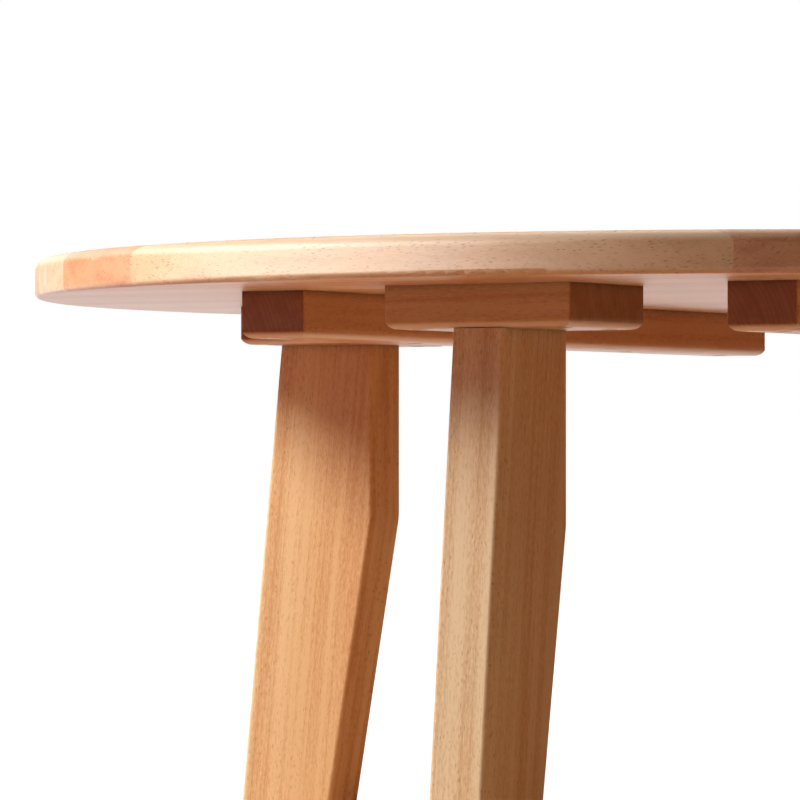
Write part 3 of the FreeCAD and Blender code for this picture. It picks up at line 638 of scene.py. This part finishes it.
def fasteners(name, tree, sizes, places, metal, body, node):
    """Grow one node's screws or rivets on their places and let them ride with the body."""
    points = bpy.data.meshes.new(name)
    points.from_pydata([place for place, drive in places], [], [])
    drives = points.attributes.new("drive", "FLOAT_VECTOR", "POINT")
    for value, (place, drive) in zip(drives.data, places):
        value.vector = drive
    piece = bpy.data.objects.new(name, points)
    bpy.context.scene.collection.objects.link(piece)
    growth = piece.modifiers.new("growth", "NODES")
    growth.node_group = tree
    values = dict(sizes, Seed=len(places), Metal=metal)
    for socket in tree.interface.items_tree:
        if socket.in_out == "INPUT" and socket.name in values:
            growth[socket.identifier] = values[socket.name]
    bpy.context.view_layer.update()
    grown = piece.evaluated_get(bpy.context.evaluated_depsgraph_get())
    mesh = bpy.data.meshes.new_from_object(grown)
    # The tree leaves an empty slot before the metal
    mesh.materials.pop(index=0)
    piece.modifiers.remove(growth)
    piece.data = mesh
    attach(piece, body)
    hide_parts(node)


def screw_sizes(gauge, length):
    """The inputs of a wood screw of that gauge and length."""
    return dict(gauge, Length=length, Tip=length * SCREW_TIP_SHARE)


def either_side(spacing):
    """The two places that lie half a spacing to each side of a middle."""
    return -spacing / 2, spacing / 2


def on_each_side(places):
    """Places on the south side, repeated on all four, each with an upward drive."""
    return [(quarter(turns, *place), UP) for turns in range(len(SIDES)) for place in places]


batten_places = [((x, step * BATTEN_SCREW_PITCH, BATTEN_BOTTOM_Z + SCREW_HEAD_RECESS), UP)
                 for x in (-BATTEN_CENTRE, BATTEN_CENTRE) for step in BATTEN_SCREW_STEPS]
block_places = on_each_side([(x, -BLOCK_CENTRE + y, BLOCK_BOTTOM_Z + SCREW_HEAD_RECESS)
                             for x in either_side(BLOCK_SCREW_SPACING[0])
                             for y in either_side(BLOCK_SCREW_SPACING[1])])
near_end = BASE_PLATE_END - BASE_SCREW_MARGIN
base_places = on_each_side([(x, -HUB_CENTRE + y, BLOCK_BOTTOM_Z)
                            for x in (near_end - BASE_SCREW_SPACING[0], near_end)
                            for y in either_side(BASE_SCREW_SPACING[1])])
rivet_places = on_each_side([(PIVOT_X, -HUB_CENTRE + RIVET_OFFSET, BLOCK_BOTTOM_Z - SPRING_THICKNESS)])

fasteners("batten_screws_cross", WOOD_SCREWS, screw_sizes(LARGE_SCREW, BATTEN_SCREW_LENGTH), batten_places,
          screw_zinc, "table_top", "batten_screws")
fasteners("block_screws_cross", WOOD_SCREWS, screw_sizes(LARGE_SCREW, BLOCK_SCREW_LENGTH), block_places,
          screw_zinc, "table_top", "block_screws")
fasteners("bracket_screws_cross", WOOD_SCREWS, screw_sizes(SMALL_SCREW, BASE_SCREW_LENGTH), base_places,
          screw_zinc, "table_top", "bracket_screws")
fasteners("spring_rivets_domed", RIVETS, SPRING_RIVET, rivet_places, turned, "table_top", "spring_rivets")
strap_face = -LEG_THICKNESS / 2 - STRAP_THICKNESS
first_strap_screw = PIVOT_Z - HUB_SIZE / 2 - STRAP_SCREW_FIRST
for turns, side in enumerate(SIDES):
    into_leg = quarter(turns, 1, 0, 0)
    strap_places = [(quarter(turns, strap_face, -HUB_CENTRE, first_strap_screw - step * STRAP_SCREW_PITCH),
                     into_leg) for step in range(STRAP_SCREW_COUNT)]
    fasteners("leg_plate_screws_cross_" + side, WOOD_SCREWS, screw_sizes(SMALL_SCREW, STRAP_SCREW_LENGTH),
              strap_places, screw_zinc, "folding_leg_" + side, "leg_plate_screws_" + side)


# Floor, backdrop, light and camera

CAMERA_PLACE = (1.1252961, -2.2241613, 0.2042106)
CAMERA_HEADING = (-0.51595822, 0.85661375)
CAMERA_PITCH = math.radians(0.651)
CAMERA_LENS_MM = 212.18
CAMERA_SENSOR_MM = 36
CAMERA_CLIP = (0.05, 50)
WHITE = (1, 1, 1, 1)
FLOOR_HALF = 6.0
# The floor that the camera sees: a grey that takes the table's shadow, under a glow that makes it white
SHOWN_GREY = (0.25, 0.25, 0.25, 1)
GLOW_REACH = (0.45, 1.3)
GLOW_LEVEL = (0.8, 1.0)
# How far from the middle the gloss starts to show a white floor, and where it is fully white
GLOSS_REACH = (0.3, 0.8)
# What the lit floor throws back, by the distance from its brightest spot, past the table's right side
BOUNCE_CENTRE = (0.45, 0.15, 0.0)
BOUNCE_NEAR = (0.95, 0.64, 0.4, 1)
BOUNCE_FAR = (0.26, 0.09, 0.034, 1)
BOUNCE_REACH = (0.45, 0.95)
ROOM_LEVEL = 0.065
ROOM_TINT = (1.0, 0.52, 0.27, 1)
# The gloss shows the white backdrop where a ray runs on along the camera's heading, by their dot product
BACKDROP_EDGE = (0.7, 0.95)
UNLIT_ROOM = 0.03
LAMP_AIM = Vector((0, 0, 0.2))


def paper_floor():
    """Matt white paper. It throws light back on the table by its own map, and is white to the camera."""
    material, tree = new_material("White paper floor")
    path = add(tree, "ShaderNodeLightPath").outputs
    where = add(tree, "ShaderNodeTexCoord").outputs["Object"]
    off_centre = add(tree, "ShaderNodeVectorMath", {0: where}, operation="LENGTH").outputs["Value"]
    level = add(tree, "ShaderNodeMapRange", {0: off_centre, 1: GLOW_REACH[0], 2: GLOW_REACH[1],
                                             3: GLOW_LEVEL[0], 4: GLOW_LEVEL[1]}).outputs[0]
    shown_matt = add(tree, "ShaderNodeBsdfDiffuse", {"Color": SHOWN_GREY}).outputs[0]
    glow = add(tree, "ShaderNodeEmission", {"Color": WHITE, "Strength": level}).outputs[0]
    shown = add(tree, "ShaderNodeAddShader", {0: shown_matt, 1: glow}).outputs[0]

    # Gloss shows the floor near the table as it is lit, and white further off
    far = add(tree, "ShaderNodeMapRange", {0: off_centre, 1: GLOSS_REACH[0], 2: GLOSS_REACH[1]}).outputs[0]
    mirrored = add(tree, "ShaderNodeMath", {0: path["Is Glossy Ray"], 1: path["Is Transmission Ray"]},
                   operation="MAXIMUM").outputs[0]
    mirrored = add(tree, "ShaderNodeMath", {0: mirrored, 1: far}, operation="MULTIPLY").outputs[0]
    seen = add(tree, "ShaderNodeMath", {0: path["Is Camera Ray"], 1: mirrored},
               operation="MAXIMUM").outputs[0]

    off_bright = add(tree, "ShaderNodeVectorMath", {0: where, 1: BOUNCE_CENTRE},
                     operation="DISTANCE").outputs["Value"]
    fade = add(tree, "ShaderNodeMapRange", {0: off_bright, 1: BOUNCE_REACH[0],
                                            2: BOUNCE_REACH[1]}).outputs[0]
    bounce = add(tree, "ShaderNodeMix", {"Factor": fade, 6: BOUNCE_NEAR, 7: BOUNCE_FAR},
                 data_type="RGBA").outputs[2]
    matt = add(tree, "ShaderNodeBsdfDiffuse", {"Color": bounce}).outputs[0]
    both = add(tree, "ShaderNodeMixShader", {0: seen, 1: matt, 2: shown})
    add(tree, "ShaderNodeOutputMaterial", {"Surface": both.outputs[0]})
    return material


def studio_world():
    """White to the camera. In gloss it is white behind the table, and a dim room in front of it."""
    world = bpy.data.worlds.new("White studio")
    world.use_nodes = True
    tree = world.node_tree
    tree.nodes.clear()
    path = add(tree, "ShaderNodeLightPath").outputs
    heading = add(tree, "ShaderNodeTexCoord").outputs["Generated"]
    behind = add(tree, "ShaderNodeVectorMath", {0: heading, 1: (*CAMERA_HEADING, 0)},
                 operation="DOT_PRODUCT").outputs["Value"]
    backdrop = add(tree, "ShaderNodeMapRange", {0: behind, 1: BACKDROP_EDGE[0], 2: BACKDROP_EDGE[1],
                                                3: UNLIT_ROOM, 4: 1.0}).outputs[0]
    mirrored = add(tree, "ShaderNodeMath", {0: path["Is Glossy Ray"], 1: path["Is Transmission Ray"]},
                   operation="MAXIMUM").outputs[0]
    unlit = add(tree, "ShaderNodeMix", {"Factor": mirrored, 2: ROOM_LEVEL, 3: backdrop}).outputs[0]
    level = add(tree, "ShaderNodeMix", {"Factor": path["Is Camera Ray"], 2: unlit, 3: 1.0}).outputs[0]
    tint = add(tree, "ShaderNodeMix", {"Factor": level, 6: ROOM_TINT, 7: WHITE}, data_type="RGBA").outputs[2]
    back = add(tree, "ShaderNodeBackground", {"Color": tint, "Strength": level})
    add(tree, "ShaderNodeOutputWorld", {"Surface": back.outputs[0]})
    return world


def soft_box(name, azimuth, elevation, distance, width, height, radiance):
    """A soft box at a heading and elevation in degrees from the aim, as bright as the radiance says."""
    azimuth, elevation = math.radians(azimuth), math.radians(elevation)
    level = math.cos(elevation)
    towards = Vector((level * math.cos(azimuth), level * math.sin(azimuth), math.sin(elevation)))
    data = bpy.data.lights.new(name, "AREA")
    data.shape = "RECTANGLE"
    data.size = width
    data.size_y = height
    data.energy = radiance * math.pi * width * height
    box = bpy.data.objects.new(name, data)
    box.location = LAMP_AIM + towards * distance
    box.rotation_euler = (-towards).to_track_quat("-Z", "Y").to_euler()
    bpy.context.scene.collection.objects.link(box)
    return box


floor_mesh = bpy.data.meshes.new("floor")
floor_corners = [(x * FLOOR_HALF, y * FLOOR_HALF, 0) for x, y in ((-1, -1), (1, -1), (1, 1), (-1, 1))]
floor_mesh.from_pydata(floor_corners, [], [(0, 1, 2, 3)])
floor_mesh.materials.append(paper_floor())
floor = bpy.data.objects.new("floor", floor_mesh)
bpy.context.scene.collection.objects.link(floor)

bpy.context.scene.world = studio_world()

# The key stands at the left, square to the camera's line of sight
key = soft_box("key soft box", azimuth=-153, elevation=30.4, distance=2.6, width=2.4, height=0.7,
               radiance=23.4)
key.visible_glossy = False
# A pale wall nearer the camera shows only as gloss
wall = soft_box("wall seen in the gloss", azimuth=-129, elevation=15, distance=2.6, width=2.7, height=1.8,
                radiance=6.5)
wall.visible_diffuse = False
# Light from above and behind, which picks out the top's upper edge
soft_box("rim soft box", azimuth=125, elevation=62, distance=2.2, width=1.8, height=0.9, radiance=2.0)

# The photograph's camera: far off, a little below the top, looking almost level
level_part = math.cos(CAMERA_PITCH)
ahead = Vector((CAMERA_HEADING[0] * level_part, CAMERA_HEADING[1] * level_part, math.sin(CAMERA_PITCH)))
camera_data = bpy.data.cameras.new("camera")
camera_data.sensor_width = CAMERA_SENSOR_MM
camera_data.lens = CAMERA_LENS_MM
camera_data.clip_start, camera_data.clip_end = CAMERA_CLIP
camera = bpy.data.objects.new("camera", camera_data)
camera.location = CAMERA_PLACE
camera.rotation_euler = ahead.to_track_quat("-Z", "Y").to_euler()
bpy.context.scene.collection.objects.link(camera)
bpy.context.scene.camera = camera
bpy.context.scene.view_settings.view_transform = "Standard"
